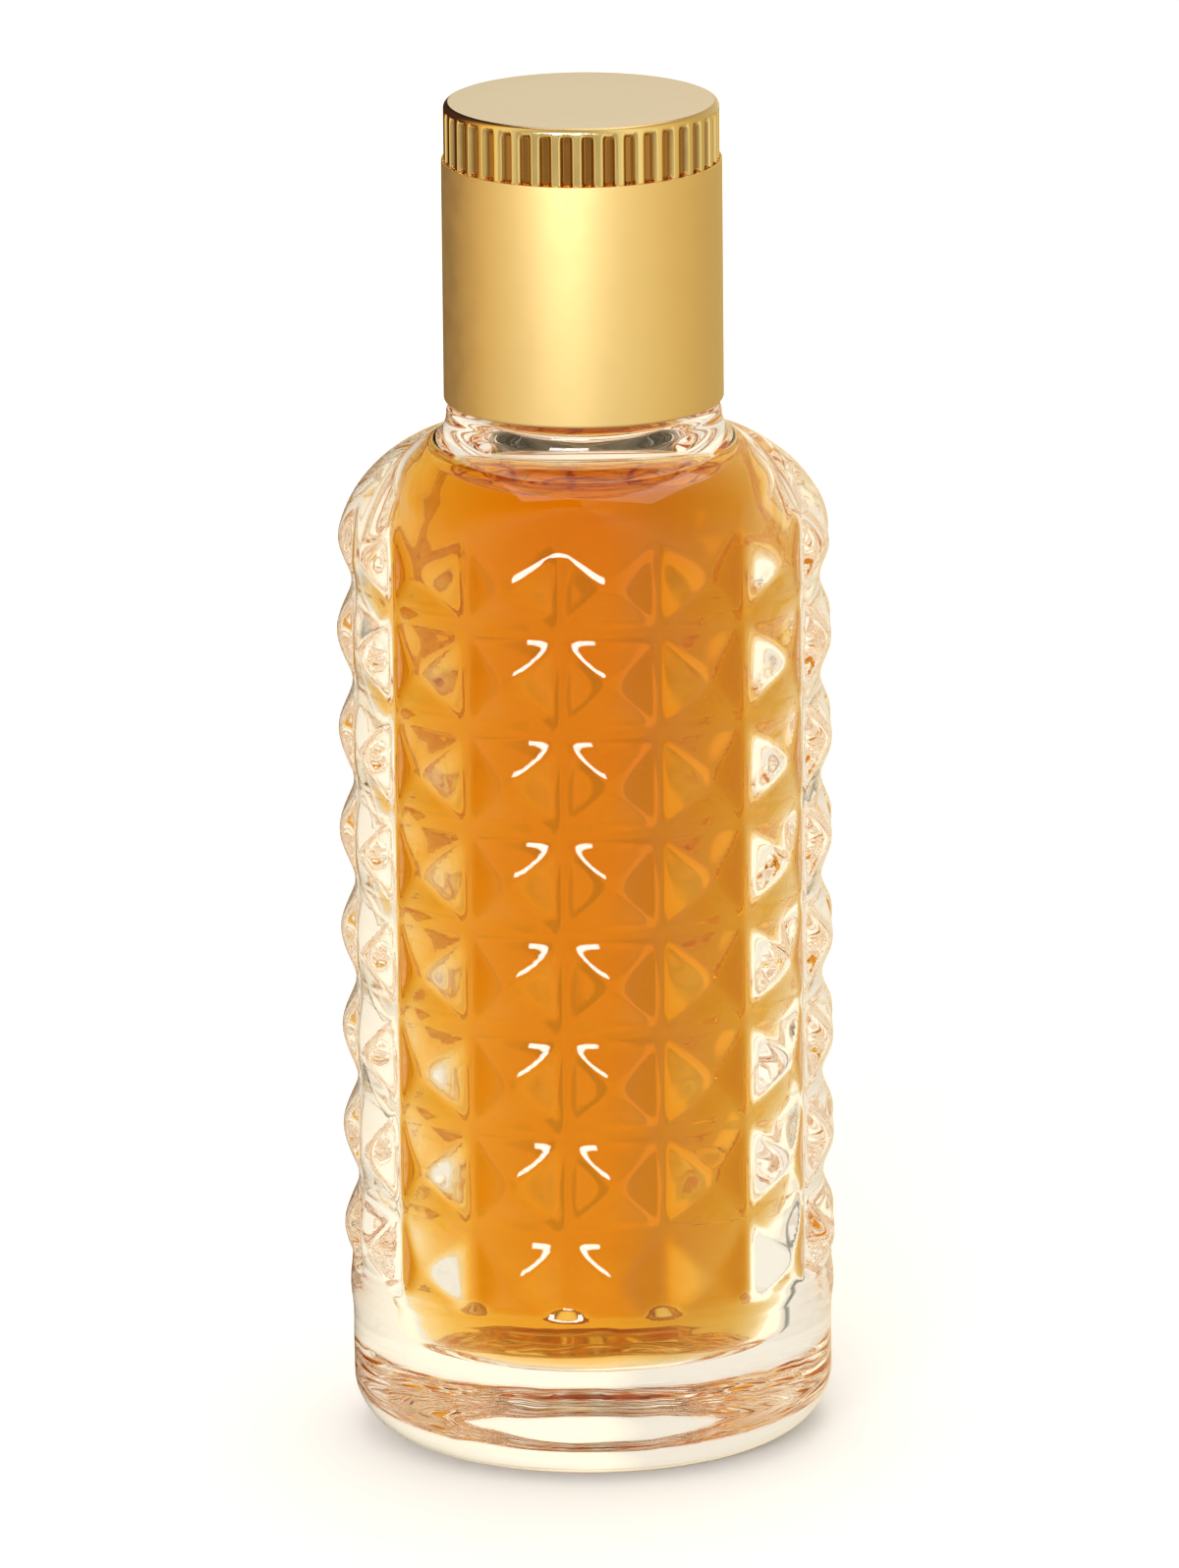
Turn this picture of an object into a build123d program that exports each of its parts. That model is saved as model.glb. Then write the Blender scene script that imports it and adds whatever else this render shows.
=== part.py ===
"""Small splash perfume bottle: a thick glass body with rows of pyramid studs, and a gold screw cap.

Millimetres, +Z up along the axis of the bottle, with the origin at the middle of the base it stands on.
The groove between two columns of studs faces -Y.
"""
from build123d import *
import math
import os

# Glass body
STUD_COLUMNS = 15          # studs round the body
STUD_ROWS = 8              # rows of studs up the body
ROW_PITCH = 4.86           # height of one row of studs
STUDS_FOOT = 7.46          # base to the groove under the lowest row
TIP_RADIUS = 11.9          # axis to the point of a stud
GROOVE_DEPTH = 0.9         # point of a stud to the floor of the grooves round it
BASE_INSET = 0.45          # how far the plain band under the studs lies inside their points
HEEL_ROUNDING = 2.8        # round edge between the band and the base
STANDING_RING = 0.6        # flat ring that it stands on, between the heel and the hollow under the base
PUNT_DEPTH = 0.7
SHOULDER_RADIUS = 6.2      # section of the dome over the top row
SHOULDER_DROP = 1.66       # points of the top row down to where the dome begins
SHOULDER_TURN = 68.0       # degrees that the dome turns before it runs straight to the neck
SHOULDER_SLOPE = 22.0      # degrees that the straight part still climbs

# Neck and its finish
BEAD_OVER_NECK = 2.2       # how far the round ring at the foot of the neck stands out from it
BEAD_HEIGHT = 1.3
BEAD_ROUNDING = 0.35
BEAD_FOOT_ROUNDING = 1.3   # hollow curve from the shoulder up into the ring
NECK_RADIUS = 4.3          # floor of the thread
NECK_FOOT_ROUNDING = 0.35
NECK_HEIGHT = 8.3          # top of the ring to the lip
LIP_ROUNDING = 0.4
BORE_RADIUS = 2.6

# Hollow for the perfume
HOLLOW_RADIUS = 6.3        # at the floor; it opens towards the shoulder
HOLLOW_DRAFT = 1.3         # how much wider it is at the shoulder
FLOOR_THICKNESS = 4.6
FLOOR_ROUNDING = 1.5
HOLLOW_SHOULDER_DROP = 4.0 # foot of the neck bore to where the hollow reaches full width
HOLLOW_SHOULDER_ROUNDING = 2.2
BORE_FOOT_ROUNDING = 3.2
BORE_FOOT_DROP = 0.5       # top of the ring to the foot of the neck bore
PERFUME_CLEARANCE = 0.05   # perfume to glass
ULLAGE = 2.8               # foot of the neck bore to the surface of the perfume

# Screw thread, right hand
THREAD_PITCH = 2.1
THREAD_DEPTH = 0.65        # on the glass
THREAD_ROOT_WIDTH = 1.1
THREAD_CREST_WIDTH = 0.5
THREAD_TURNS = 1.5
THREAD_DROP = 5.1          # lip to the start of the glass thread
THREAD_RUN_OUT = 24.0      # degrees over which each end of a thread fades
CAP_THREAD_DEPTH = 0.6
CAP_THREAD_ROOT_WIDTH = 0.9
CAP_THREAD_CREST_WIDTH = 0.4
CAP_THREAD_TURNS = 1.25
CAP_THREAD_START = 0.45    # foot of the insert to the middle of its thread's start, in pitches
THREAD_CLEARANCE = 0.2     # crest to root across the gap
FLANK_CLEARANCE = 0.12     # between flanks that bear when the cap is tight
THREAD_OVERLAP = 0.2       # how far a thread's section is sunk into its wall

# Pour plug in the neck
PLUG_FLANGE_SETBACK = 0.4  # how far the flange lies inside the neck's side
PLUG_FLANGE_THICKNESS = 0.6
PLUG_LENGTH = 5.0
PLUG_CLEARANCE = 0.02
PLUG_WALL = 0.55
PLUG_LEAD_IN = 0.35        # how much narrower the foot of the plug is
PLUG_LEAD_HEIGHT = 0.8
PLUG_FLANGE_ROUNDING = 0.2
PLUG_HOLE_RADIUS = 0.6
PLUG_WEB = 0.7             # thickness of the wall that the hole goes through
PLUG_RIB_BITE = 0.06       # how far each sealing rib presses into the bore
PLUG_RIB_WIDTH = 0.5
PLUG_RIB_COUNT = 3
PLUG_RIB_PITCH = 1.2
PLUG_RIB_DROP = 1.0        # lip to the first rib

# Cap
CAP_OVER_NECK = 2.3        # how far the cap's skirt stands out from the neck
CAP_HEIGHT = 14.3
CAP_GAP = 0.25             # ring of the neck to the rim of the cap
SHELL_WALL = 0.4           # least wall of the skirt and top
FLUTE_WALL = 0.2           # metal left behind the grooves of the band
RIM_ROUNDING = 0.16        # rolled edge at the foot of the shell
TOP_ROUNDING = 0.35        # edge of the top disc
BAND_HEIGHT = 2.75         # ribbed band under the top
BAND_STEP = 0.1            # how far the ribs lie inside the skirt
RIB_COUNT = 40
FLUTE_DEPTH = 0.24         # grooves between the ribs
FLUTE_SHARE = 0.56         # share of a rib's pitch that its groove takes
FLUTE_TOP_MARGIN = 0.42    # top of the cap to the top ends of the grooves
BAND_ROOT = 1.0            # how far the ribbed band reaches down inside the skirt
INSERT_CLEARANCE = 0.02    # insert to shell
INSERT_RECESS = 0.35       # rim of the shell to the foot of the insert
INSERT_WEB = 1.2
INSERT_TUBE_WALL = 0.9     # short tube above the web that bears on the top of the shell
INSERT_FOOT_ROUNDING = 0.25
INSERT_TOP_ROUNDING = 0.3
LINER_THICKNESS = 1.0
LINER_CLEARANCE = 0.12     # liner to the wall of the insert
LINER_PRESS_GAP = 0.02     # liner to the plug under it, and to the web over it

# Heights and radii that follow
GROOVE_RADIUS = TIP_RADIUS - GROOVE_DEPTH
BASE_RADIUS = TIP_RADIUS - BASE_INSET
PUNT_RADIUS = BASE_RADIUS - HEEL_ROUNDING - STANDING_RING
BEAD_RADIUS = NECK_RADIUS + BEAD_OVER_NECK
PLUG_FLANGE_RADIUS = NECK_RADIUS - PLUG_FLANGE_SETBACK
CAP_RADIUS = NECK_RADIUS + CAP_OVER_NECK
TOP_TIP_Z = STUDS_FOOT + (STUD_ROWS - 0.5) * ROW_PITCH
DOME_END_RADIUS = TIP_RADIUS - SHOULDER_RADIUS * (1 - math.cos(math.radians(SHOULDER_TURN)))
DOME_FOOT_Z = TOP_TIP_Z - SHOULDER_DROP
DOME_END_Z = DOME_FOOT_Z + SHOULDER_RADIUS * math.sin(math.radians(SHOULDER_TURN))
BEAD_FOOT_Z = DOME_END_Z + (DOME_END_RADIUS - BEAD_RADIUS) * math.tan(math.radians(SHOULDER_SLOPE))
BEAD_TOP_Z = BEAD_FOOT_Z + BEAD_HEIGHT
LIP_Z = BEAD_TOP_Z + NECK_HEIGHT
BORE_FOOT_Z = BEAD_TOP_Z - BORE_FOOT_DROP
HOLLOW_SHOULDER_Z = BORE_FOOT_Z - HOLLOW_SHOULDER_DROP
PERFUME_Z = BORE_FOOT_Z - ULLAGE
THREAD_START_Z = LIP_Z - THREAD_DROP
CAP_RIM_Z = BEAD_TOP_Z + CAP_GAP
CAP_TOP_Z = CAP_RIM_Z + CAP_HEIGHT
BAND_FOOT_Z = CAP_TOP_Z - BAND_HEIGHT
BAND_RADIUS = CAP_RADIUS - BAND_STEP
SHELL_BORE_RADIUS = min(CAP_RADIUS - SHELL_WALL, BAND_RADIUS - FLUTE_DEPTH - FLUTE_WALL)
INSERT_RADIUS = SHELL_BORE_RADIUS - INSERT_CLEARANCE
INSERT_FOOT_Z = CAP_RIM_Z + INSERT_RECESS
INSERT_BORE_RADIUS = NECK_RADIUS + THREAD_DEPTH + THREAD_CLEARANCE
PLUG_TOP_Z = LIP_Z + PLUG_FLANGE_THICKNESS
LINER_FOOT_Z = PLUG_TOP_Z + LINER_PRESS_GAP
WEB_FOOT_Z = LINER_FOOT_Z + LINER_THICKNESS + LINER_PRESS_GAP
INSERT_TOP_Z = CAP_TOP_Z - SHELL_WALL - INSERT_CLEARANCE


def turned(outline):
    """Solid of revolution about Z of a closed outline of edges drawn as (radius, height)."""
    face = make_face(Plane.XZ * outline)
    return revolve(face, Axis.Z)


def closed(points):
    """Closed outline of straight edges."""
    return Polyline(*points, close=True)


def rounded(points, radii):
    """Closed outline whose corners, all but the first and the last, have these radii, 0 for a sharp one."""
    path = FilletPolyline(*points, radius=radii)
    return path + Line(path @ 1, path @ 0)


def polar(radius, degrees):
    """Point at an angle from -Y, turning towards +X."""
    angle = math.radians(degrees - 90)
    return (radius * math.cos(angle), radius * math.sin(angle))


def shoulder():
    """Everything under the dome and the straight part that climbs from it to the neck."""
    dome = JernArc((TIP_RADIUS, DOME_FOOT_Z), (0, 1), SHOULDER_RADIUS, SHOULDER_TURN)
    clear = TIP_RADIUS + GROOVE_DEPTH
    rest = Polyline(dome @ 1, (BEAD_RADIUS, BEAD_FOOT_Z), (0, BEAD_FOOT_Z), (0, 0), (clear, 0),
                    (clear, DOME_FOOT_Z), dome @ 0)
    return turned(dome + rest)


def studded_barrel():
    """Rings of V grooves under a dome, met by a star-shaped prism: every crossing leaves a pyramid."""
    zigzag = [(0, STUDS_FOOT), (GROOVE_RADIUS, STUDS_FOOT)]
    for row in range(STUD_ROWS):
        foot = STUDS_FOOT + row * ROW_PITCH
        zigzag.append((TIP_RADIUS, foot + ROW_PITCH / 2))
        zigzag.append((GROOVE_RADIUS, foot + ROW_PITCH))
    zigzag.pop()
    zigzag += [(TIP_RADIUS, BEAD_TOP_Z), (0, BEAD_TOP_Z)]
    rings = turned(closed(zigzag)) & shoulder()
    star = []
    for column in range(STUD_COLUMNS):
        groove = 360 / STUD_COLUMNS * column
        star.append(polar(GROOVE_RADIUS, groove))
        star.append(polar(TIP_RADIUS, groove + 180 / STUD_COLUMNS))
    prism = extrude(Pos(0, 0, STUDS_FOOT) * make_face(closed(star)), BEAD_TOP_Z - STUDS_FOOT)
    return rings & prism


def base_band():
    """Plain band with a round heel, its top edge bevelled into the lowest groove, and a punt below."""
    bevel = BASE_RADIUS - GROOVE_RADIUS
    band_top = STUDS_FOOT + ROW_PITCH / 2 * bevel / GROOVE_DEPTH
    outline = rounded(
        [(0, 0), (BASE_RADIUS, 0), (BASE_RADIUS, band_top), (GROOVE_RADIUS, band_top + bevel),
         (0, band_top + bevel)],
        [HEEL_ROUNDING, 0, 0],
    )
    punt = ThreePointArc((-PUNT_RADIUS, 0), (0, PUNT_DEPTH), (PUNT_RADIUS, 0))
    half = make_face(Plane.XZ * (punt + Line(punt @ 1, punt @ 0))) & Plane.XZ * Pos(
        PUNT_RADIUS, 0) * Rectangle(2 * PUNT_RADIUS, 2 * PUNT_RADIUS)
    return turned(outline) - revolve(half, Axis.Z)


def neck():
    """Ring, threaded neck and lip, solid, with a hollow curve from the shoulder up into the ring."""
    slope = math.radians(SHOULDER_SLOPE)
    foot_radius = BEAD_RADIUS + BEAD_FOOT_ROUNDING * math.cos(slope)
    foot = BEAD_FOOT_Z - BEAD_FOOT_ROUNDING * math.sin(slope)
    outline = rounded(
        [(0, foot - BEAD_HEIGHT), (foot_radius, foot - BEAD_HEIGHT), (foot_radius, foot),
         (BEAD_RADIUS, BEAD_FOOT_Z), (BEAD_RADIUS, BEAD_TOP_Z), (NECK_RADIUS, BEAD_TOP_Z),
         (NECK_RADIUS, LIP_Z), (0, LIP_Z)],
        [0, 0, BEAD_FOOT_ROUNDING, BEAD_ROUNDING, NECK_FOOT_ROUNDING, LIP_ROUNDING],
    )
    return turned(outline) + glass_thread()


def hollow_outline(inset, top):
    """Outline of the hollow for the perfume, drawn in from the glass by inset and cut off at a height."""
    floor = FLOOR_THICKNESS + inset
    wide = HOLLOW_RADIUS + HOLLOW_DRAFT - inset
    bore = BORE_RADIUS - inset
    return rounded(
        [(0, floor), (HOLLOW_RADIUS - inset, floor), (wide, HOLLOW_SHOULDER_Z),
         (bore, BORE_FOOT_Z), (bore, top), (0, top)],
        [FLOOR_ROUNDING, HOLLOW_SHOULDER_ROUNDING, BORE_FOOT_ROUNDING, 0],
    )


def thread(root, crest, root_width, crest_width, turns, start_z, start_angle):
    """Helical ridge that stands from a wall of radius root to radius crest, its ends cut back on a slant."""
    outwards = 1 if crest > root else -1
    middle = (root + crest) / 2
    path = Helix(THREAD_PITCH, turns * THREAD_PITCH, middle)
    sunk = root - outwards * THREAD_OVERLAP
    flare = (root_width - crest_width) / abs(crest - root) * THREAD_OVERLAP
    section = closed([
        (sunk - middle, -(root_width + flare) / 2),
        (crest - middle, -crest_width / 2),
        (crest - middle, crest_width / 2),
        (sunk - middle, (root_width + flare) / 2),
    ])
    ridge = sweep(Plane(path @ 0, (1, 0, 0), path % 0) * make_face(section), path, is_frenet=True)
    # Each end is cut by a block whose inner face climbs from the wall at the end to the crest further in.
    run_out = middle * math.radians(THREAD_RUN_OUT)
    tilt = math.degrees(math.atan2(crest - root, run_out))
    thick = 2 * abs(crest - root)
    block = Pos(outwards * thick / 2, run_out / 2, 0) * Box(thick, 2 * run_out, 2 * root_width)
    for angle, sense in ((0, 1), (360 * turns, -1)):
        climb = angle / 360 * THREAD_PITCH
        block_there = Rot(0, 0, -tilt) * block
        if sense < 0:
            block_there = mirror(block_there, Plane.XZ)
        ridge = ridge - Pos(0, 0, climb) * Rot(0, 0, angle) * Pos(root, 0, 0) * block_there
    return Pos(0, 0, start_z) * Rot(0, 0, start_angle) * ridge


def glass_thread():
    """Thread on the neck."""
    return thread(NECK_RADIUS, NECK_RADIUS + THREAD_DEPTH, THREAD_ROOT_WIDTH, THREAD_CREST_WIDTH,
                  THREAD_TURNS, THREAD_START_Z, 0)


def cap_thread():
    """Thread inside the cap, lying under the glass thread on the same helix."""
    # Half the widths of both ridges where the cap's crest faces the flank of the glass thread.
    flank = (THREAD_ROOT_WIDTH - THREAD_CREST_WIDTH) / 2 / THREAD_DEPTH
    glass_half = THREAD_ROOT_WIDTH / 2 - flank * (INSERT_BORE_RADIUS - CAP_THREAD_DEPTH - NECK_RADIUS)
    drop = glass_half + CAP_THREAD_CREST_WIDTH / 2 + FLANK_CLEARANCE
    start_z = INSERT_FOOT_Z + CAP_THREAD_START * THREAD_PITCH
    turns_below = (THREAD_START_Z - drop - start_z) / THREAD_PITCH
    return thread(INSERT_BORE_RADIUS, INSERT_BORE_RADIUS - CAP_THREAD_DEPTH, CAP_THREAD_ROOT_WIDTH,
                  CAP_THREAD_CREST_WIDTH, CAP_THREAD_TURNS, start_z, -360 * turns_below)


def bottle_glass():
    """Studded body, base, neck and thread in one piece of glass, hollow for the perfume."""
    solid = studded_barrel() + base_band() + neck()
    return solid - turned(hollow_outline(0, LIP_Z + 1))


def perfume():
    """Body of liquid, level with the middle of the shoulder."""
    level = Pos(0, 0, PERFUME_Z / 2) * Box(3 * TIP_RADIUS, 3 * TIP_RADIUS, PERFUME_Z)
    return turned(hollow_outline(PERFUME_CLEARANCE, LIP_Z)) & level


def pour_plug():
    """Soft plug pressed into the neck, with a flange on the lip and a small hole to pour through."""
    foot = LIP_Z - PLUG_LENGTH
    radius = BORE_RADIUS - PLUG_CLEARANCE
    body = turned(rounded(
        [(0, foot), (radius - PLUG_LEAD_IN, foot), (radius, foot + PLUG_LEAD_HEIGHT), (radius, LIP_Z),
         (PLUG_FLANGE_RADIUS, LIP_Z), (PLUG_FLANGE_RADIUS, PLUG_TOP_Z), (0, PLUG_TOP_Z)],
        [0, 0, 0, 0, PLUG_FLANGE_ROUNDING],
    ))
    for rib in range(PLUG_RIB_COUNT):
        middle = LIP_Z - PLUG_RIB_DROP - rib * PLUG_RIB_PITCH
        body += turned(closed([
            (radius - PLUG_WALL / 2, middle - PLUG_RIB_WIDTH / 2),
            (BORE_RADIUS + PLUG_RIB_BITE, middle),
            (radius - PLUG_WALL / 2, middle + PLUG_RIB_WIDTH / 2),
        ]))
    cup = radius - PLUG_WALL
    web_z = LIP_Z - PLUG_LENGTH / 2
    well = PLUG_TOP_Z - web_z
    skirt = web_z - PLUG_WEB - foot
    body -= Pos(0, 0, web_z + well / 2) * Cone(cup * 0.8, cup, well)
    body -= Pos(0, 0, foot + skirt / 2) * Cylinder(cup, skirt)
    return body - Pos(0, 0, web_z) * Cylinder(PLUG_HOLE_RADIUS, 4 * PLUG_WEB)


def ribbed_edge(radius, depth):
    """Round outline with a shallow curved groove between each pair of ribs."""
    pitch = 360 / RIB_COUNT
    half_flute = pitch * FLUTE_SHARE / 2
    edges = []
    for rib in range(RIB_COUNT):
        angle = rib * pitch
        edges.append(ThreePointArc(polar(radius, angle - half_flute), polar(radius - depth, angle),
                                   polar(radius, angle + half_flute)))
        edges.append(ThreePointArc(polar(radius, angle + half_flute), polar(radius, angle + pitch / 2),
                                   polar(radius, angle + pitch - half_flute)))
    return make_face(edges)


def cap_shell():
    """Drawn metal cup with a rolled rim, a ribbed band pressed in under its top and a flat top."""
    skirt = turned(rounded(
        [(0, CAP_RIM_Z), (CAP_RADIUS, CAP_RIM_Z), (CAP_RADIUS, BAND_FOOT_Z), (0, BAND_FOOT_Z)],
        [RIM_ROUNDING, BAND_STEP],
    ))
    flute_top = CAP_TOP_Z - FLUTE_TOP_MARGIN
    band_foot = BAND_FOOT_Z - BAND_ROOT
    band = extrude(Pos(0, 0, band_foot) * ribbed_edge(BAND_RADIUS, FLUTE_DEPTH), flute_top - band_foot)
    crown = turned(rounded(
        [(0, flute_top), (BAND_RADIUS, flute_top), (BAND_RADIUS, CAP_TOP_Z), (0, CAP_TOP_Z)],
        [0, TOP_ROUNDING],
    ))
    shell = skirt + band + crown
    depth = CAP_HEIGHT - SHELL_WALL
    return shell - Pos(0, 0, CAP_RIM_Z + depth / 2) * Cylinder(SHELL_BORE_RADIUS, depth)


def cap_insert():
    """Moulded plastic closure inside the shell: threaded below a web, and a short tube above it."""
    body = turned(rounded(
        [(0, INSERT_FOOT_Z), (INSERT_RADIUS, INSERT_FOOT_Z), (INSERT_RADIUS, INSERT_TOP_Z), (0, INSERT_TOP_Z)],
        [INSERT_FOOT_ROUNDING, INSERT_TOP_ROUNDING],
    ))
    below = WEB_FOOT_Z - INSERT_FOOT_Z
    body -= Pos(0, 0, INSERT_FOOT_Z + below / 2) * Cylinder(INSERT_BORE_RADIUS, below)
    web_top = WEB_FOOT_Z + INSERT_WEB
    above = INSERT_TOP_Z - web_top
    body -= Pos(0, 0, web_top + above / 2) * Cylinder(INSERT_RADIUS - INSERT_TUBE_WALL, above)
    return body + cap_thread()


def cap_liner():
    """Foam disc that seals on the plug and the lip."""
    disc = Cylinder(INSERT_BORE_RADIUS - LINER_CLEARANCE, LINER_THICKNESS)
    return Pos(0, 0, LINER_FOOT_Z + LINER_THICKNESS / 2) * disc


NODES = {
    "bottle_glass": bottle_glass,
    "perfume": perfume,
    "pour_plug": pour_plug,
    "cap_shell": cap_shell,
    "cap_insert": cap_insert,
    "cap_liner": cap_liner,
}

os.makedirs("parts", exist_ok=True)
for node, build in NODES.items():
    export_step(Part() + build(), f"parts/{node}.step")
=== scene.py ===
"""Finish of a small splash perfume bottle: pressed glass studs, amber perfume and a satin gold screw cap."""

import bpy
import math
import numpy as np
from mathutils import Euler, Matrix, Quaternion, Vector, noise


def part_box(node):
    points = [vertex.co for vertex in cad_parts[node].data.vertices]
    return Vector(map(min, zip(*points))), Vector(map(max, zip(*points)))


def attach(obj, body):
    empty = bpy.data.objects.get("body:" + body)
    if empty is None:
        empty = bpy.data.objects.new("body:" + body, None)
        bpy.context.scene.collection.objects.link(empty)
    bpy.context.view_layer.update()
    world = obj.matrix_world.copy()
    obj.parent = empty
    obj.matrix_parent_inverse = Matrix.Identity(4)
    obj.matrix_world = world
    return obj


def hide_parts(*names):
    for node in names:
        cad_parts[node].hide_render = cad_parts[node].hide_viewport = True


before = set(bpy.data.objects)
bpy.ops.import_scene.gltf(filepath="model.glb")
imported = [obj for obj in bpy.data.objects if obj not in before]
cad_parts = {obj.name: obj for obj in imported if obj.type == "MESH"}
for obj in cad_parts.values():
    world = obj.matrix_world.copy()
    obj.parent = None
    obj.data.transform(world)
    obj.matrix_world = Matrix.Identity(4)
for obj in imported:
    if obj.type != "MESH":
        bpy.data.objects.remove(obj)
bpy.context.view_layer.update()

MM = 0.001
GLASS_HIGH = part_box("bottle_glass")[1]
PERFUME_LOW, PERFUME_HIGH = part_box("perfume")
SHELL_LOW, SHELL_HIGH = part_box("cap_shell")
INSERT_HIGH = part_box("cap_insert")[1]

# Studs: columns round the body, rows up it, the groove between two columns facing -Y
COLUMNS = 15
ROWS = 8
STUDS_FOOT = 7.46 * MM         # base to the groove under the lowest row
TIP_RADIUS = GLASS_HIGH.y
ROW_PITCH = 4.86 * MM
STUD_HEIGHT = 0.82 * MM
COLUMN_GROOVE = 0.4 * MM       # middle of an upright groove to where a facet runs straight
ROW_GROOVE = 0.8 * MM          # the same across, where the glass is softer
TIP_WIDTH = 0.4 * MM           # point of a stud to where a facet runs straight
RIDGE_SOFTNESS = 0.12 * MM     # rounding of the edges between facets
STUD_VARIATION = 0.05          # share of a stud's height by which studs differ
ROW_PHASE = 4.1                # how that variation runs on from row to row
COLUMN_PHASE = 12.9            # the same, from column to column
CELLS = 18                     # mesh cells along each side of a stud

# Base and shoulder
HEEL_ROUNDING = 2.8 * MM
BAND_RADIUS = TIP_RADIUS - 0.48 * MM
BAND_TOP = 8.3 * MM
BAND_SWELL = 0.12 * MM         # how much fuller the band is just under its top
SWELL_Z = 7 * MM
SWELL_REACH = 0.9 * MM
BAND_FALL = 1.5                # how steeply the band runs in under the lowest studs
BAND_BLEND = 0.25 * MM         # rounding where the band meets the studs
PUNT_RADIUS = 8.05 * MM
PUNT_DEPTH = 0.7 * MM
TOP_TIP_Z = STUDS_FOOT + (ROWS - 0.5) * ROW_PITCH
DOME_FOOT_Z = TOP_TIP_Z - 1.66 * MM
SHOULDER_RADIUS = 6.2 * MM
SHOULDER_TURN = math.radians(68)
SEAM_HEIGHT = 0.03 * MM
SEAM_WIDTH = 0.04 * MM
WAVE_SCALE = 330               # waves of the pressed surface, per metre
OUTER_WAVE = 0.045 * MM
INNER_WAVE = 0.05 * MM

# Neck
BEAD_RADIUS = 6.5 * MM
BEAD_HEIGHT = 1.3 * MM
BEAD_ROUNDING = 0.35 * MM
BEAD_FOOT_ROUNDING = 1.3 * MM
NECK_HEIGHT = 8.3 * MM
NECK_RADIUS = 4.3 * MM
NECK_FOOT_ROUNDING = 0.35 * MM
LIP_Z = GLASS_HIGH.z
BEAD_TOP_Z = LIP_Z - NECK_HEIGHT
BEAD_FOOT_Z = BEAD_TOP_Z - BEAD_HEIGHT
BORE_RADIUS = 2.6 * MM
LIP_ROUNDING = 0.4 * MM
BORE_MOUTH_Z = LIP_Z - 1 * MM  # where the lip's outline hands over to that of the hollow
THREAD_PITCH = 2.1 * MM
THREAD_DEPTH = 0.65 * MM
THREAD_ROOT_WIDTH = 1.1 * MM
THREAD_CREST_WIDTH = 0.5 * MM
THREAD_TURNS = 1.5
THREAD_START_Z = LIP_Z - 5.1 * MM
THREAD_RUN_OUT = 24.0

# Hollow for the perfume
PERFUME_CLEARANCE = 0.05 * MM
FLOOR_Z = PERFUME_LOW.z - PERFUME_CLEARANCE
HOLLOW_RADIUS = 6.3 * MM       # at the floor; it opens towards the shoulder
HOLLOW_DRAFT = 1.3 * MM
FLOOR_ROUNDING = 1.5 * MM
BORE_FOOT_Z = BEAD_TOP_Z - 0.5 * MM
HOLLOW_SHOULDER_Z = BORE_FOOT_Z - 4.0 * MM
HOLLOW_SHOULDER_ROUNDING = 2.2 * MM
BORE_FOOT_ROUNDING = 3.2 * MM
WETTING = 0.06 * MM            # how far the perfume's skin lies inside the glass, so that no air gap shows
MENISCUS = 0.35 * MM           # how far the middle of the surface lies under its edge
MENISCUS_CURVE = [(0.12, 0.16), (0.32, 0.27), (0.7, 0.35)]   # in from the edge and down, in mm

# Cap
CAP_RADIUS = SHELL_HIGH.x
CAP_TOP_Z = SHELL_HIGH.z
CAP_RIM_Z = SHELL_LOW.z
BAND_HEIGHT = 2.75 * MM
BAND_STEP = 0.1 * MM
RIBS = 40
RIB_CELLS = 16                 # mesh cells from one rib to the next
FLUTE_DEPTH = 0.3 * MM
FLUTE_TOP_MARGIN = 0.36 * MM
FLUTE_RUN_OUT = 0.28 * MM
FLUTE_STEEPNESS = 0.85         # 0.5 is a plain wave; more gives flat ribs and flat grooves
RIB_INSET = 0.02 * MM
SHELL_WALL = 0.4 * MM
TOP_ROUNDING = 0.3 * MM
RIM_ROUNDING = 0.16 * MM
POCKET_DEPTH = 0.3 * MM        # gap behind the lip of the skirt at the foot of the flutes
RIB_GOLD = (1.0, 0.82, 0.44)
# Painted shade: the colour put in the bottoms of the flutes between the ribs, darker than the ribs' own gold
GROOVE_PAINTED_SHADE = (0.42, 0.2, 0.03)

# Camera, and lights as azimuth from -Y towards +X, elevation, distance, width, height and radiance
CAMERA_AZIMUTH = math.radians(6.4)
CAMERA_ELEVATION = math.radians(14.79)
CAMERA_PITCH = math.radians(14.72)
CAMERA_LEAN = math.radians(0.55)
CAMERA_DISTANCE = 0.735
CAMERA_AIM_Z = 0.0304
LIGHT_AIM_Z = 0.035
KEY_LIGHT = (-6.4, 14.5, 1.0, 0.56, 0.2, 19.5)
TOP_LIGHT = (180, 65, 0.8, 0.5, 0.5, 1.3)
ROOM_STRENGTH = 1.5
CARD_SHARE = 0.38              # how much of the cards every other ray sees, mixed with the room
BOUNCES = 32

# What reflections see of the room: azimuth in degrees from -Y towards +X, and colour
CARDS = [
    (-180, (0.85, 0.68, 0.42)),
    (-172, (0.85, 0.66, 0.38)),
    (-165, (0.04, 0.015, 0.01)),
    (-114, (0.05, 0.015, 0.01)),
    (-94, (0.45, 0.2, 0.03)),
    (-76, (0.95, 0.68, 0.2)),
    (-60, (0.8, 0.68, 0.42)),
    (-40, (0.44, 0.37, 0.22)),
    (20, (0.44, 0.37, 0.22)),
    (50, (0.95, 0.84, 0.54)),
    (85, (0.72, 0.53, 0.22)),
    (125, (0.5, 0.38, 0.16)),
    (160, (0.6, 0.5, 0.3)),
    (180, (0.85, 0.68, 0.42)),
]


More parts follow.
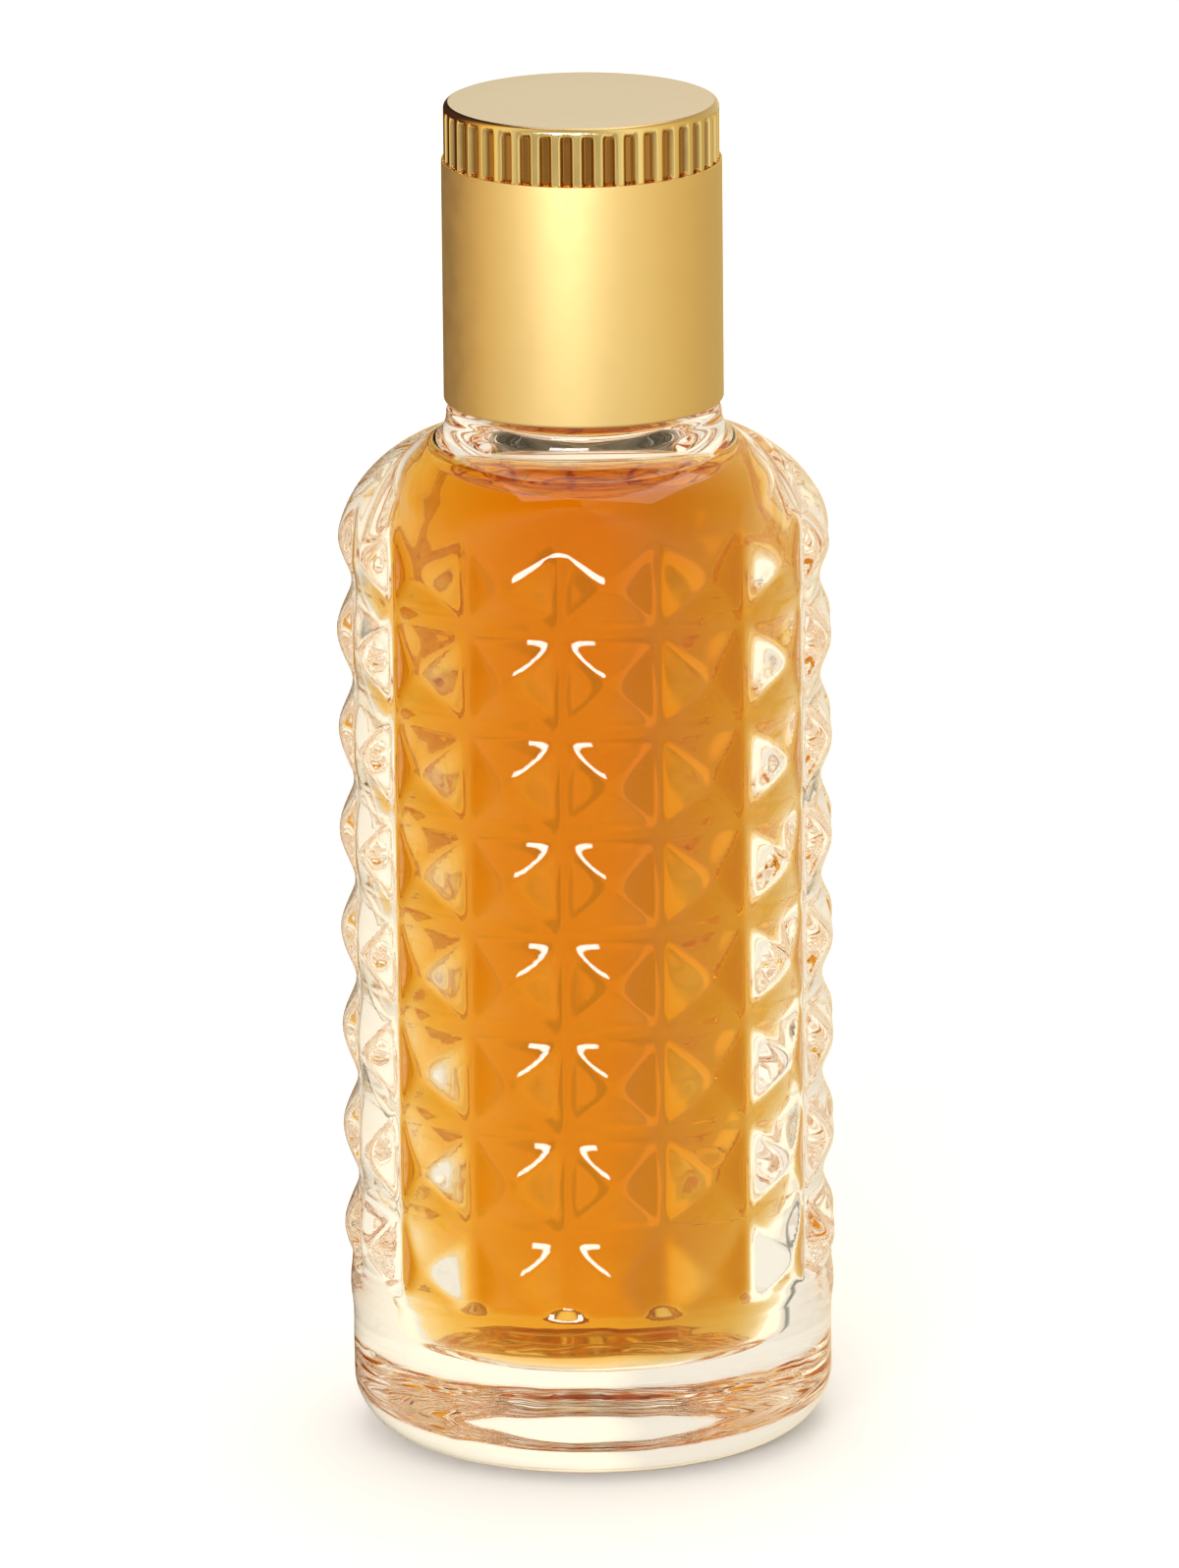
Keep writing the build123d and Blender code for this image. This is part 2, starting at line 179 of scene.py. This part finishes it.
def arc(centre, radius, start, end, steps):
    """Points of an arc in the plane of radius and height; angles in radians from +radius towards +height."""
    points = []
    for step in range(steps + 1):
        angle = start + (end - start) * step / steps
        points.append((centre[0] + radius * math.cos(angle), centre[1] + radius * math.sin(angle)))
    return points


def rounded(corners, steps=6):
    """Points of a line through corners, each (radius, height, rounding)."""
    points = []
    for place, (radius, height, rounding) in enumerate(corners):
        corner = Vector((radius, height))
        if rounding == 0:
            points.append(tuple(corner))
            continue
        back = (Vector(corners[place - 1][:2]) - corner).normalized()
        ahead = (Vector(corners[place + 1][:2]) - corner).normalized()
        half = back.angle(ahead) / 2
        centre = corner + (back + ahead).normalized() * rounding / math.sin(half)
        first = corner + back * rounding / math.tan(half) - centre
        last = corner + ahead * rounding / math.tan(half) - centre
        start = math.atan2(first.y, first.x)
        turn = (math.atan2(last.y, last.x) - start + math.pi) % (2 * math.pi) - math.pi
        points += arc(centre, rounding, start, start + turn, steps)
    return points


def divided(points, longest):
    """The same line with each straight run cut into equal parts no longer than this."""
    out = [points[0]]
    for (r0, z0), (r1, z1) in zip(points, points[1:]):
        parts = max(1, math.ceil(math.hypot(r1 - r0, z1 - z0) / longest - 1e-6))
        for part in range(1, parts + 1):
            share = part / parts
            out.append((r0 + (r1 - r0) * share, z0 + (z1 - z0) * share))
    return out


def turned(name, outline, steps):
    """A point drawn out along an outline of (radius, height), then spun about the axis into a closed skin."""
    bpy.ops.object.select_all(action="DESELECT")
    bpy.ops.mesh.primitive_plane_add(size=MM)
    piece = bpy.context.object
    piece.name = name
    bpy.ops.object.mode_set(mode="EDIT")
    bpy.ops.mesh.select_all(action="SELECT")
    bpy.ops.mesh.merge(type="CENTER")
    bpy.ops.transform.translate(value=(outline[0][0], 0, outline[0][1]))
    for (r0, z0), (r1, z1) in zip(outline, outline[1:]):
        bpy.ops.mesh.extrude_region_move(TRANSFORM_OT_translate={"value": (r1 - r0, 0, z1 - z0)})
    bpy.ops.mesh.select_all(action="SELECT")
    bpy.ops.mesh.spin(steps=steps, angle=2 * math.pi, center=(0, 0, 0), axis=(0, 0, 1))
    bpy.ops.mesh.select_all(action="SELECT")
    bpy.ops.mesh.remove_doubles(threshold=0.002 * MM)
    bpy.ops.mesh.normals_make_consistent(inside=False)
    bpy.ops.object.mode_set(mode="OBJECT")
    bpy.ops.object.shade_smooth()
    return piece


def places(piece):
    """Vertex positions of a piece as rows of x, y, z."""
    flat = np.empty(3 * len(piece.data.vertices))
    piece.data.vertices.foreach_get("co", flat)
    return flat.reshape(-1, 3)


def reshape(piece, radius, height):
    """Moves each vertex along its own meridian to a new radius and height."""
    co = places(piece)
    old = np.hypot(co[:, 0], co[:, 1])
    scale = np.where(old > 1e-9, radius / np.maximum(old, 1e-9), 1.0)
    co[:, 0] *= scale
    co[:, 1] *= scale
    co[:, 2] = height
    piece.data.vertices.foreach_set("co", co.ravel())
    piece.data.update()


def smooth_min(a, b, softness):
    """The lesser of two heights, with the edge between them rounded."""
    blend = np.clip(0.5 + 0.5 * (b - a) / softness, 0, 1)
    return b + (a - b) * blend - softness * blend * (1 - blend)


def facet(from_groove, half_pitch, groove_width):
    """Height of a facet over its groove: a rounded groove, a straight slope and a small round point."""
    slope = STUD_HEIGHT / (half_pitch - groove_width / 2 - TIP_WIDTH / 2)
    height = np.where(from_groove < groove_width, slope * from_groove**2 / (2 * groove_width),
                      slope * (from_groove - groove_width / 2))
    to_tip = half_pitch - from_groove
    return height - np.where(to_tip < TIP_WIDTH, slope * (TIP_WIDTH - to_tip) ** 2 / (2 * TIP_WIDTH), 0)


def dome_radius(height):
    """Radius of the shoulder's arc at a height."""
    rise = np.clip((height - DOME_FOOT_Z) / SHOULDER_RADIUS, 0, math.sin(SHOULDER_TURN))
    return TIP_RADIUS - SHOULDER_RADIUS * (1 - np.sqrt(1 - rise**2))


def press_studs(piece):
    """Presses the grooves between the studs into the plain turned body."""
    co = places(piece)
    radius = np.hypot(co[:, 0], co[:, 1])
    height = co[:, 2]
    around = np.degrees(np.arctan2(co[:, 0], -co[:, 1])) % 360 * COLUMNS / 360
    column = np.floor(around)
    side = np.abs(around - column - 0.5)
    half_column = math.pi * TIP_RADIUS / COLUMNS
    across = facet((0.5 - side) * 2 * half_column, half_column, COLUMN_GROOVE)
    rows = (height - STUDS_FOOT) / ROW_PITCH
    row = np.floor(rows)
    upward = facet((0.5 - np.abs(rows - row - 0.5)) * ROW_PITCH, ROW_PITCH / 2, ROW_GROOVE)
    lift = 1 + STUD_VARIATION * np.sin(COLUMN_PHASE * column + ROW_PHASE * row)
    upward = np.where(height > TOP_TIP_Z, STUD_HEIGHT, upward * np.minimum(lift, 1))
    groove_radius = TIP_RADIUS - STUD_HEIGHT
    studs = groove_radius + smooth_min(across, upward, RIDGE_SOFTNESS)
    studs = smooth_min(studs, dome_radius(height), 3 * RIDGE_SOFTNESS)
    swell = BAND_SWELL * np.exp(-(((height - SWELL_Z) / SWELL_REACH) ** 2))
    band = BAND_RADIUS + swell - np.maximum(height - BAND_TOP, 0) * BAND_FALL
    body = -smooth_min(-studs, -band, BAND_BLEND)
    outer = (radius > groove_radius - 4 * MM) & (height < BEAD_FOOT_Z - 1e-7)
    new = np.where(outer & (height >= STUDS_FOOT - 1e-7), np.minimum(body, radius), radius)
    new = np.where(outer & (height > HEEL_ROUNDING) & (height < STUDS_FOOT - 1e-7), band, new)
    reshape(piece, new, height)


def cut_thread(piece):
    """Raises the screw thread from the plain neck."""
    co = places(piece)
    radius = np.hypot(co[:, 0], co[:, 1])
    height = co[:, 2]
    angle = np.degrees(np.arctan2(co[:, 1], co[:, 0])) % 360
    raised = np.zeros(len(co))
    flank = (THREAD_ROOT_WIDTH - THREAD_CREST_WIDTH) / 2
    for turn in range(math.ceil(THREAD_TURNS)):
        along = angle + 360 * turn
        off = np.abs(height - THREAD_START_Z - along / 360 * THREAD_PITCH)
        ridge = np.clip((THREAD_ROOT_WIDTH / 2 - off) / flank, 0, 1)
        fade = np.clip(np.minimum(along, 360 * THREAD_TURNS - along) / THREAD_RUN_OUT, 0, 1)
        raised = np.maximum(raised, ridge * ridge * (3 - 2 * ridge) * fade)
    neck = (np.abs(radius - NECK_RADIUS) < 0.01 * MM) & (height > BEAD_TOP_Z)
    reshape(piece, radius + np.where(neck, raised * THREAD_DEPTH, 0), height)


def mould_marks(piece):
    """Fine seams on opposite sides where the mould halves meet, and the slight waviness of pressed glass."""
    co = places(piece)
    radius = np.hypot(co[:, 0], co[:, 1])
    seam = (np.abs(co[:, 0]) < SEAM_WIDTH / 2) & (radius > 8.5 * MM) & (co[:, 2] > STUDS_FOOT)
    wave = np.array([noise.noise(Vector(point) * WAVE_SCALE) for point in co])
    outer = (radius > 8 * MM) & (co[:, 2] > 0.2 * MM)
    inner = (radius > 4 * MM) & (radius < HOLLOW_RADIUS + HOLLOW_DRAFT + 0.1 * MM)
    inner &= (co[:, 2] < HOLLOW_SHOULDER_Z) & (co[:, 2] > FLOOR_Z)
    moved = radius + np.where(seam, SEAM_HEIGHT, 0) - np.where(outer, np.abs(wave) * OUTER_WAVE, 0)
    moved = moved + np.where(inner, wave * INNER_WAVE, 0)
    reshape(piece, np.minimum(moved, TIP_RADIUS), co[:, 2])


def hollow_corners(inset, top):
    """Corners of the hollow from the middle of its floor up to a height."""
    return [
        (0, FLOOR_Z + inset, 0),
        (HOLLOW_RADIUS - inset, FLOOR_Z + inset, FLOOR_ROUNDING),
        (HOLLOW_RADIUS + HOLLOW_DRAFT - inset, HOLLOW_SHOULDER_Z, HOLLOW_SHOULDER_ROUNDING),
        (BORE_RADIUS - inset, BORE_FOOT_Z, BORE_FOOT_ROUNDING),
        (BORE_RADIUS - inset, top, 0),
    ]


def bottle():
    """The glass: base, studded body, shoulder, ring, threaded neck and the hollow, in one skin."""
    punt_radius = (PUNT_RADIUS**2 + PUNT_DEPTH**2) / (2 * PUNT_DEPTH)
    half = math.asin(PUNT_RADIUS / punt_radius)
    punt = arc((0, PUNT_DEPTH - punt_radius), punt_radius, math.pi / 2, math.pi / 2 - half, 8)
    heel = arc((BAND_RADIUS - HEEL_ROUNDING, HEEL_ROUNDING), HEEL_ROUNDING, -math.pi / 2, 0, 12)
    band = divided([(BAND_RADIUS, HEEL_ROUNDING), (BAND_RADIUS, STUDS_FOOT - 0.02 * MM)], 0.5 * MM)
    body = divided([(TIP_RADIUS, STUDS_FOOT), (TIP_RADIUS, TOP_TIP_Z)], ROW_PITCH / CELLS)
    begun = math.asin((TOP_TIP_Z - DOME_FOOT_Z) / SHOULDER_RADIUS)
    dome = arc((TIP_RADIUS - SHOULDER_RADIUS, DOME_FOOT_Z), SHOULDER_RADIUS, begun, SHOULDER_TURN, 20)
    top = rounded([
        (dome[-1][0], dome[-1][1], 0),
        (BEAD_RADIUS, BEAD_FOOT_Z, BEAD_FOOT_ROUNDING),
        (BEAD_RADIUS, BEAD_TOP_Z, BEAD_ROUNDING),
        (NECK_RADIUS, BEAD_TOP_Z, NECK_FOOT_ROUNDING),
        (NECK_RADIUS, LIP_Z, LIP_ROUNDING),
        (BORE_RADIUS, LIP_Z, LIP_ROUNDING / 2),
        (BORE_RADIUS, BORE_MOUTH_Z, 0),
    ])
    neck = divided(top, 0.25 * MM)
    inside = divided(rounded(hollow_corners(0, BORE_MOUTH_Z), 8), 2.4 * MM)[::-1]
    outline = punt + heel + band[1:] + body + dome[1:] + neck[1:] + inside[1:]
    glass = turned("glass_bottle", outline, COLUMNS * CELLS)
    press_studs(glass)
    cut_thread(glass)
    mould_marks(glass)
    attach(glass, "bottle")
    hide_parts("bottle_glass")
    glass.data.materials.append(clear_glass("clear glass", 1))
    glass.data.materials.append(clear_glass("wetted glass", 0))
    for face in glass.data.polygons:
        within = math.hypot(face.center.x, face.center.y) < HOLLOW_RADIUS + HOLLOW_DRAFT
        if within and FLOOR_Z - 0.1 * MM < face.center.z < PERFUME_HIGH.z:
            face.material_index = 1
    return glass


def perfume():
    """The liquid, wetting the glass and curling up a little at its edge."""
    corners = hollow_corners(-WETTING, LIP_Z)
    wall = divided(rounded(corners, 8), 1.2 * MM)
    level = PERFUME_HIGH.z
    wet = [point for point in wall if point[1] < level]
    (r0, z0), (r1, z1) = wet[-1], wall[len(wet)]
    edge = r0 + (r1 - r0) * (level - z0) / (z1 - z0)
    curl = [(edge - inward * MM, level - down * MM) for inward, down in MENISCUS_CURVE]
    surface = [(edge, level)] + curl + [(edge * 0.5, level - MENISCUS), (0, level - MENISCUS)]
    liquid = turned("perfume_liquid", wet + surface, 160)
    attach(liquid, "bottle")
    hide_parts("perfume")
    liquid.data.materials.append(amber_perfume())
    return liquid


def flute(piece, band_foot):
    """Presses the grooves between the ribs into the band under the cap's top."""
    co = places(piece)
    radius = np.hypot(co[:, 0], co[:, 1])
    height = co[:, 2]
    around = np.degrees(np.arctan2(co[:, 1], co[:, 0])) * RIBS / 360
    groove = np.clip(0.5 + FLUTE_STEEPNESS * np.cos(2 * math.pi * around), 0, 1)
    groove = groove * groove * (3 - 2 * groove)
    run_out = np.clip((CAP_TOP_Z - FLUTE_TOP_MARGIN - height) / FLUTE_RUN_OUT, 0, 1)
    run_out = np.sqrt(1 - (1 - run_out) ** 2)
    band_radius = CAP_RADIUS - BAND_STEP
    band = (np.abs(radius - band_radius) < 0.06 * MM) & (height > band_foot - POCKET_DEPTH - 1e-7)
    band &= height < CAP_TOP_Z - FLUTE_TOP_MARGIN
    lip = (radius > band_radius - 0.01 * MM) & (height < band_foot + 0.01 * MM)
    reshape(piece, radius - np.where(band & ~lip, FLUTE_DEPTH * groove * run_out, 0), height)


def cap_shell():
    """The gold cup: flat top, ribbed band, and a plain skirt with a fine lip and a rolled rim."""
    band_foot = CAP_TOP_Z - BAND_HEIGHT
    band_radius = CAP_RADIUS - BAND_STEP
    rib_radius = band_radius - RIB_INSET
    bore = INSERT_HIGH.x + 0.02 * MM
    crown = rounded([(0, CAP_TOP_Z, 0), (rib_radius, CAP_TOP_Z, TOP_ROUNDING), (rib_radius, band_foot, 0)])
    fluted = divided(crown[:-1] + [(rib_radius, band_foot - POCKET_DEPTH)], 0.16 * MM)
    flat = [point for point in fluted if point[1] > CAP_TOP_Z - 1e-9]
    fluted = [flat[0], (0.5 * rib_radius, CAP_TOP_Z), flat[-1]] + fluted[len(flat):]
    skirt = rounded([
        (band_radius, band_foot - POCKET_DEPTH, 0),
        (band_radius, band_foot, 0.04 * MM),
        (CAP_RADIUS, band_foot, 0.05 * MM),
        (CAP_RADIUS, CAP_RIM_Z, RIM_ROUNDING),
        (bore, CAP_RIM_Z, RIM_ROUNDING),
        (bore, CAP_TOP_Z - SHELL_WALL, 0.1 * MM),
        (0, CAP_TOP_Z - SHELL_WALL, 0),
    ])
    shell = turned("gold_cap", fluted + skirt, RIBS * RIB_CELLS)
    flute(shell, band_foot)
    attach(shell, "cap")
    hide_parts("cap_shell")
    for finish in (satin_gold(), bright_gold(), top_gold()):
        shell.data.materials.append(finish)
    for face in shell.data.polygons:
        reach = math.hypot(face.center.x, face.center.y)
        if face.center.z > CAP_TOP_Z - 0.02 * MM:
            face.material_index = 2
        elif face.center.z > band_foot - POCKET_DEPTH and reach < band_radius:
            face.material_index = 1
    return shell


def finish(name):
    """A new material with its node tree and its main shader."""
    made = bpy.data.materials.new(name)
    made.use_nodes = True
    return made, made.node_tree, made.node_tree.nodes["Principled BSDF"]


def grain(tree, scale, detail=3.0):
    """Noise that stays on the piece."""
    place = tree.nodes.new("ShaderNodeTexCoord")
    texture = tree.nodes.new("ShaderNodeTexNoise")
    texture.inputs["Scale"].default_value = scale
    texture.inputs["Detail"].default_value = detail
    tree.links.new(place.outputs["Object"], texture.inputs["Vector"])
    return texture.outputs["Fac"]


def spread(tree, value, low, high):
    """A 0 to 1 value spread over another range."""
    node = tree.nodes.new("ShaderNodeMapRange")
    node.inputs["From Min"].default_value = 0.3
    node.inputs["From Max"].default_value = 0.7
    node.inputs["To Min"].default_value = low
    node.inputs["To Max"].default_value = high
    tree.links.new(value, node.inputs["Value"])
    return node.outputs["Result"]


def relief(tree, shader, value, depth, strength=1.0):
    """Surface relief of a given depth in metres."""
    node = tree.nodes.new("ShaderNodeBump")
    node.inputs["Strength"].default_value = strength
    node.inputs["Distance"].default_value = depth
    tree.links.new(value, node.inputs["Height"])
    tree.links.new(node.outputs["Normal"], shader.inputs["Normal"])


def clear_glass(name, gloss):
    """Clear pressed glass; where the perfume wets it, no gloss is left."""
    made, tree, shader = finish(name)
    shader.inputs["Specular Tint"].default_value = (gloss, gloss, gloss, 1)
    shader.inputs["Base Color"].default_value = (0.985, 0.965, 0.915, 1)
    shader.inputs["Transmission Weight"].default_value = 1
    shader.inputs["IOR"].default_value = 1.5
    tree.links.new(spread(tree, grain(tree, 260), 0.0, 0.03), shader.inputs["Roughness"])
    return made


def amber_perfume():
    """Clear liquid whose colour deepens with its thickness; the glass round it leaves it no gloss."""
    made, tree, shader = finish("amber perfume")
    shader.inputs["Base Color"].default_value = (1, 1, 1, 1)
    shader.inputs["Transmission Weight"].default_value = 1
    shader.inputs["Roughness"].default_value = 0
    shader.inputs["IOR"].default_value = 1.37
    shader.inputs["Specular Tint"].default_value = (0, 0, 0, 1)
    depth = tree.nodes.new("ShaderNodeVolumeAbsorption")
    depth.inputs["Color"].default_value = (0.93, 0.752, 0.08, 1)
    depth.inputs["Density"].default_value = 450
    tree.links.new(depth.outputs["Volume"], tree.nodes["Material Output"].inputs["Volume"])
    return made


def gold(name, colour, rough_low, rough_high, coat, coat_rough):
    """Gold anodised metal under a clear coat, with a fine uneven sheen."""
    made, tree, shader = finish(name)
    shader.inputs["Base Color"].default_value = (*colour, 1)
    shader.inputs["Metallic"].default_value = 1
    shader.inputs["Coat Weight"].default_value = coat
    shader.inputs["Coat Roughness"].default_value = coat_rough
    tree.links.new(spread(tree, grain(tree, 900), rough_low, rough_high), shader.inputs["Roughness"])
    return made


def satin_gold():
    """The skirt."""
    return gold("satin gold", (0.91, 0.7, 0.32), 0.53, 0.59, 1.0, 0.6)


def bright_gold():
    """Polished ribs, with painted shade darkening the grooves between them."""
    made = gold("bright gold", RIB_GOLD, 0.16, 0.22, 1.0, 0.15)
    tree = made.node_tree
    place = tree.nodes.new("ShaderNodeTexCoord")
    level = tree.nodes.new("ShaderNodeVectorMath")
    level.operation = "MULTIPLY"
    level.inputs[1].default_value = (1, 1, 0)
    reach = tree.nodes.new("ShaderNodeVectorMath")
    reach.operation = "LENGTH"
    # Painted shade: the base colour darkens from the ribs' gold towards the bottoms of the flutes, by
    # distance from the axis
    depth = tree.nodes.new("ShaderNodeMapRange")
    rib_radius = CAP_RADIUS - BAND_STEP - RIB_INSET
    depth.inputs["From Min"].default_value = rib_radius - 0.8 * FLUTE_DEPTH
    depth.inputs["From Max"].default_value = rib_radius - 0.05 * MM
    groove_shade_ramp = tree.nodes.new("ShaderNodeValToRGB")
    groove_shade_ramp.color_ramp.elements[0].color = (*GROOVE_PAINTED_SHADE, 1)
    groove_shade_ramp.color_ramp.elements[1].color = (*RIB_GOLD, 1)
    tree.links.new(place.outputs["Object"], level.inputs[0])
    tree.links.new(level.outputs["Vector"], reach.inputs[0])
    tree.links.new(reach.outputs["Value"], depth.inputs["Value"])
    tree.links.new(depth.outputs["Result"], groove_shade_ramp.inputs["Fac"])
    tree.links.new(groove_shade_ramp.outputs["Color"], tree.nodes["Principled BSDF"].inputs["Base Color"])
    return made


def top_gold():
    """The flat top, paler and almost without gloss."""
    return gold("matt gold top", (0.86, 0.81, 0.7), 0.74, 0.8, 0.2, 0.8)


def plastic(name, colour, roughness, scatter):
    """Moulded plastic with a faint grain, a little light passing into it."""
    made, tree, shader = finish(name)
    shader.inputs["Base Color"].default_value = (*colour, 1)
    shader.inputs["Subsurface Weight"].default_value = scatter
    shader.inputs["Subsurface Radius"].default_value = (0.8 * MM, 0.8 * MM, 0.7 * MM)
    shader.inputs["Subsurface Scale"].default_value = 1
    uneven = spread(tree, grain(tree, 1500), roughness - 0.05, roughness + 0.05)
    tree.links.new(uneven, shader.inputs["Roughness"])
    relief(tree, shader, grain(tree, 9000, 2.0), 0.01 * MM, 0.4)
    return made


def dress(node, made):
    """Gives a construction node its finish."""
    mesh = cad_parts[node].data
    mesh.materials.clear()
    mesh.materials.append(made)


def floor():
    """Plain pale ground."""
    bpy.ops.object.select_all(action="DESELECT")
    bpy.ops.mesh.primitive_plane_add(size=6)
    ground = bpy.context.object
    ground.name = "floor"
    made, tree, shader = finish("pale floor")
    shader.inputs["Base Color"].default_value = (0.93, 0.935, 0.97, 1)
    shader.inputs["Roughness"].default_value = 0.9
    shader.inputs["Specular IOR Level"].default_value = 0.1
    ground.data.materials.append(made)
    ground.visible_glossy = False
    ground.visible_transmission = False


def direction(azimuth, elevation):
    """Unit vector from the axis; azimuth 0 is towards -Y and 90 degrees towards +X."""
    return Vector((math.sin(azimuth) * math.cos(elevation), -math.cos(azimuth) * math.cos(elevation),
                   math.sin(elevation)))


def softbox(name, azimuth, elevation, distance, width, height, radiance):
    """White area light, angles in degrees, that faces the middle of the bottle."""
    light = bpy.data.lights.new(name, "AREA")
    light.shape = "RECTANGLE"
    light.size = width
    light.size_y = height
    light.energy = radiance * math.pi * width * height
    lamp = bpy.data.objects.new(name, light)
    bpy.context.collection.objects.link(lamp)
    back = direction(math.radians(azimuth), math.radians(elevation))
    lamp.location = Vector((0, 0, LIGHT_AIM_Z)) + back * distance
    lamp.rotation_mode = "QUATERNION"
    lamp.rotation_quaternion = back.to_track_quat("Z", "Y")
    lamp.visible_transmission = False


def card_colour(tree):
    """Colour of the card that lies in a ray's direction, by its azimuth."""
    place = tree.nodes.new("ShaderNodeTexCoord")
    split = tree.nodes.new("ShaderNodeSeparateXYZ")
    front = tree.nodes.new("ShaderNodeMath")
    front.operation = "MULTIPLY"
    front.inputs[1].default_value = -1
    azimuth = tree.nodes.new("ShaderNodeMath")
    azimuth.operation = "ARCTAN2"
    around = tree.nodes.new("ShaderNodeMapRange")
    around.inputs["From Min"].default_value = -math.pi
    around.inputs["From Max"].default_value = math.pi
    cards = tree.nodes.new("ShaderNodeValToRGB")
    stops = cards.color_ramp.elements
    stops[0].color = (*CARDS[0][1], 1)
    stops[1].color = (*CARDS[-1][1], 1)
    for degrees, colour in CARDS[1:-1]:
        stop = stops.new(degrees / 360 + 0.5)
        stop.color = (*colour, 1)
    tree.links.new(place.outputs["Generated"], split.inputs["Vector"])
    tree.links.new(split.outputs["Y"], front.inputs[0])
    tree.links.new(split.outputs["X"], azimuth.inputs[0])
    tree.links.new(front.outputs["Value"], azimuth.inputs[1])
    tree.links.new(azimuth.outputs["Value"], around.inputs["Value"])
    tree.links.new(around.outputs["Result"], cards.inputs["Fac"])
    return cards.outputs["Color"]


def card_share(tree):
    """1 for a ray that a surface has mirrored, and a smaller share for every other ray."""
    kind = tree.nodes.new("ShaderNodeLightPath")
    mirrored = tree.nodes.new("ShaderNodeMath")
    mirrored.operation = "MULTIPLY"
    share = tree.nodes.new("ShaderNodeMapRange")
    share.inputs["To Min"].default_value = CARD_SHARE
    tree.links.new(kind.outputs["Is Glossy Ray"], mirrored.inputs[0])
    tree.links.new(kind.outputs["Is Reflection Ray"], mirrored.inputs[1])
    tree.links.new(mirrored.outputs["Value"], share.inputs["Value"])
    return share.outputs["Result"]


def surroundings():
    """Bright room whose light falls on the bottle and shines through it, with golden cards in reflections."""
    world = bpy.data.worlds.new("studio")
    bpy.context.scene.world = world
    world.use_nodes = True
    tree = world.node_tree
    reflected = tree.nodes["Background"]
    room = tree.nodes.new("ShaderNodeBackground")
    room.inputs["Color"].default_value = (1.0, 0.96, 0.86, 1)
    room.inputs["Strength"].default_value = ROOM_STRENGTH
    choose = tree.nodes.new("ShaderNodeMixShader")
    tree.links.new(card_colour(tree), reflected.inputs["Color"])
    tree.links.new(card_share(tree), choose.inputs["Fac"])
    tree.links.new(room.outputs["Background"], choose.inputs[1])
    tree.links.new(reflected.outputs["Background"], choose.inputs[2])
    tree.links.new(choose.outputs["Shader"], tree.nodes["World Output"].inputs["Surface"])


def camera():
    """Long lens from a little above and to the right of the front groove, leaning slightly."""
    data = bpy.data.cameras.new("camera")
    data.lens = 356
    data.sensor_width = 36
    data.clip_start = 0.01
    data.clip_end = 20
    data.shift_x = 0.00125
    eye = bpy.data.objects.new("camera", data)
    bpy.context.collection.objects.link(eye)
    back = direction(CAMERA_AZIMUTH, CAMERA_ELEVATION)
    eye.location = Vector((0, 0, CAMERA_AIM_Z)) + back * CAMERA_DISTANCE
    eye.rotation_mode = "QUATERNION"
    look = Euler((math.pi / 2 - CAMERA_PITCH, 0, CAMERA_AZIMUTH)).to_quaternion()
    eye.rotation_quaternion = look @ Quaternion((0, 0, 1), -CAMERA_LEAN)
    bpy.context.scene.camera = eye


bottle()
perfume()
cap_shell()
dress("pour_plug", plastic("milky plug", (0.84, 0.84, 0.81), 0.4, 0.3))
dress("cap_insert", plastic("cap plastic", (0.78, 0.75, 0.68), 0.45, 0.1))
dress("cap_liner", plastic("liner foam", (0.88, 0.88, 0.86), 0.7, 0.1))
floor()
surroundings()
softbox("key", *KEY_LIGHT)
softbox("top", *TOP_LIGHT)
camera()
bpy.context.scene.view_settings.view_transform = "Standard"
bpy.context.scene.cycles.max_bounces = BOUNCES
bpy.context.scene.cycles.transmission_bounces = BOUNCES
bpy.context.scene.cycles.glossy_bounces = BOUNCES
